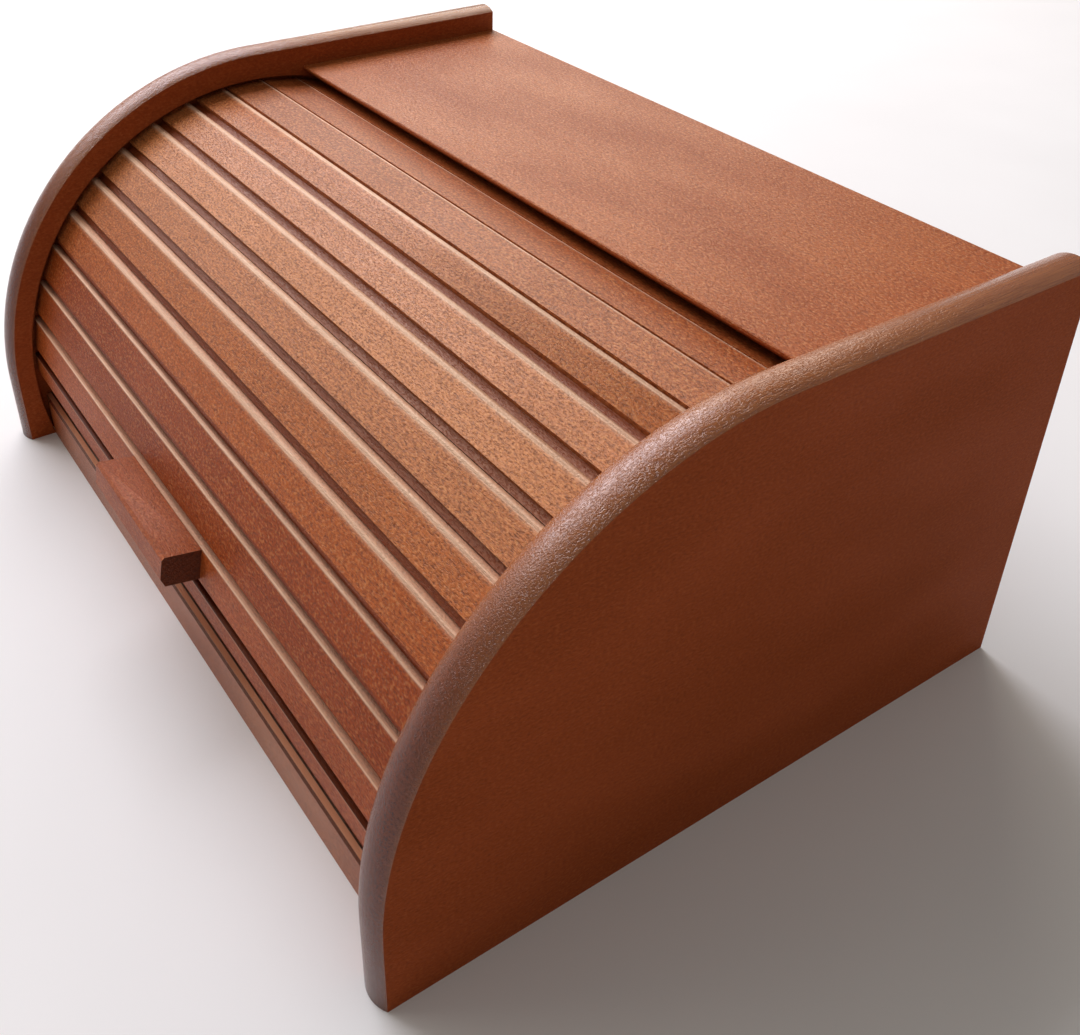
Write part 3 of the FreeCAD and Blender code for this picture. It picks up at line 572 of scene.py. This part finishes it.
# ---------------------------------------------------------------- canvas behind the slats
CANVAS_LOW, CANVAS_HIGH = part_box("canvas_backing")
CANVAS_INSET = 0.35 * MM        # from the CAD strip's outer face in to the cloth's middle
CANVAS_RADIUS = TRACK_MIDDLE.y - CANVAS_LOW.y - CANVAS_INSET
CANVAS_FIRST = math.radians(-0.35)      # angles from the front up
CANVAS_LAST = math.radians(106.3)
CANVAS_WIDTH = CANVAS_HIGH.x - CANVAS_LOW.x
CANVAS_LENGTH = CANVAS_RADIUS * (CANVAS_LAST - CANVAS_FIRST)
CANVAS_THICKNESS = 0.5 * MM
CANVAS_COLUMNS, CANVAS_ROWS = 120, 160
DIP = 0.25 * MM         # how far the cloth sinks into the joint between two slats
DIP_SHARE = 0.05        # half the dip's width, as a share of the pitch
PUCKER = 0.05 * MM      # how far the glued cloth puckers
PUCKER_WAVES = ((410, 1.7), (173, -0.9))        # radians in a metre across, and from row to row


def canvas_spot(column, row):
    """A point of the cloth: on the circle behind the slats, dipped at the joints and puckered."""
    angle = CANVAS_FIRST + (CANVAS_LAST - CANVAS_FIRST) * row / CANVAS_ROWS
    share = (math.degrees(angle) - LEAD_ANGLE) / SLAT_ANGLE % 1.0
    joint = math.exp(-(min(share, 1 - share) / DIP_SHARE) ** 2)
    across = CANVAS_WIDTH * (column / CANVAS_COLUMNS - 0.5)
    pucker = math.prod(math.sin(across * in_metre + row * in_row)
                       for in_metre, in_row in PUCKER_WAVES)
    radius = CANVAS_RADIUS + joint * DIP - PUCKER * (1 + pucker)
    return TRACK_MIDDLE + Vector((across, -radius * math.cos(angle), radius * math.sin(angle)))


def canvas_strip():
    """The glued cloth as one curved sheet, with its weave laid out flat in millimetres."""
    mesh = bpy.data.meshes.new("curtain_canvas")
    shape = bmesh.new()
    grid = [[shape.verts.new(canvas_spot(column, row)) for column in range(CANVAS_COLUMNS + 1)]
            for row in range(CANVAS_ROWS + 1)]
    weave_map = shape.loops.layers.uv.new("weave")
    for row in range(CANVAS_ROWS):
        for column in range(CANVAS_COLUMNS):
            corners = ((column, row), (column + 1, row), (column + 1, row + 1), (column, row + 1))
            face = shape.faces.new([grid[v][u] for u, v in corners])
            for loop, (u, v) in zip(face.loops, corners):
                loop[weave_map].uv = (CANVAS_WIDTH / MM * u / CANVAS_COLUMNS,
                                      CANVAS_LENGTH / MM * v / CANVAS_ROWS)
            face.smooth = True
    shape.to_mesh(mesh)
    shape.free()
    mesh.materials.append(cotton_canvas())
    strip = bpy.data.objects.new("curtain_canvas", mesh)
    bpy.context.scene.collection.objects.link(strip)
    thickness = strip.modifiers.new("cloth_thickness", "SOLIDIFY")
    thickness.thickness = CANVAS_THICKNESS
    thickness.offset = 0
    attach(strip, "roll_top")
    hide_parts("canvas_backing")


canvas_strip()

# ---------------------------------------------------------------- floor, light and camera
MIDDLE = (cad_box[0] + cad_box[1]) / 2
FLOOR_RADIUS = 6.0
EYE = Vector((0.3952, -0.2413, 0.3744))
AIM = Vector((0.0180, 0.0162, 0.0821))
ROLL = math.radians(0.559)


def studio_floor():
    """White studio paper: matt, with a faint cloudiness that keeps it from looking painted."""
    material, tree = new_material("studio_paper")
    place = add_node(tree, "ShaderNodeTexCoord", {})
    cloud = add_node(tree, "ShaderNodeTexNoise", {"Vector": place.outputs["Object"], "Scale": 6})
    colour = lay_over(tree, "#F6F5F3", "#F2F1EF", cloud.outputs["Fac"], 0.3, 0.7)
    finish_surface(tree, {"Base Color": colour, "Roughness": 0.75})
    mesh = bpy.data.meshes.new("studio_floor")
    shape = bmesh.new()
    bmesh.ops.create_circle(shape, cap_ends=True, segments=64, radius=FLOOR_RADIUS)
    shape.to_mesh(mesh)
    shape.free()
    mesh.materials.append(material)
    floor = bpy.data.objects.new("studio_floor", mesh)
    bpy.context.scene.collection.objects.link(floor)


def soft_light(name, towards, distance, size, power, colour):
    """An oblong soft light of size (across, up); towards is the direction from the box to it."""
    lamp = bpy.data.lights.new(name, "AREA")
    lamp.shape = "RECTANGLE"
    lamp.size, lamp.size_y = size
    lamp.energy = power
    lamp.color = linear(colour)[:3]
    light = bpy.data.objects.new(name, lamp)
    light.location = MIDDLE + Vector(towards).normalized() * distance
    light.rotation_mode = "QUATERNION"
    light.rotation_quaternion = (MIDDLE - light.location).to_track_quat("-Z", "Y")
    bpy.context.scene.collection.objects.link(light)


def studio_sky(colour, strength):
    """An even, weak light from all round."""
    world = bpy.data.worlds.new("studio_sky")
    world.use_nodes = True
    background = world.node_tree.nodes["Background"]
    background.inputs["Color"].default_value = linear(colour)
    background.inputs["Strength"].default_value = strength
    bpy.context.scene.world = world


def main_camera():
    """Looks down on the box's front from high on its right."""
    lens = bpy.data.cameras.new("main_camera")
    lens.lens = 41.1
    lens.sensor_width = 36
    lens.shift_x = 0.04
    lens.shift_y = -0.12
    lens.clip_start = 0.01
    camera = bpy.data.objects.new("main_camera", lens)
    camera.location = EYE
    camera.rotation_mode = "QUATERNION"
    level = (AIM - EYE).to_track_quat("-Z", "Y")
    camera.rotation_quaternion = level @ Quaternion((0, 0, 1), ROLL)
    bpy.context.scene.collection.objects.link(camera)
    bpy.context.scene.camera = camera


studio_floor()
soft_light("window", towards=(-0.73, -0.03, 0.68), distance=3.0, size=(2.7, 1.9), power=104,
           colour="#F8F6FF")
soft_light("back_left", towards=(-0.72, 0.58, 0.38), distance=3.0, size=(1.5, 1.5), power=19,
           colour="#FFF1E2")
soft_light("front_left", towards=(-0.5, -0.52, 0.68), distance=3.0, size=(1.6, 1.6), power=10,
           colour="#FFF6EC")
studio_sky("#F4F1EC", 0.28)
main_camera()
bpy.context.scene.view_settings.view_transform = "Standard"
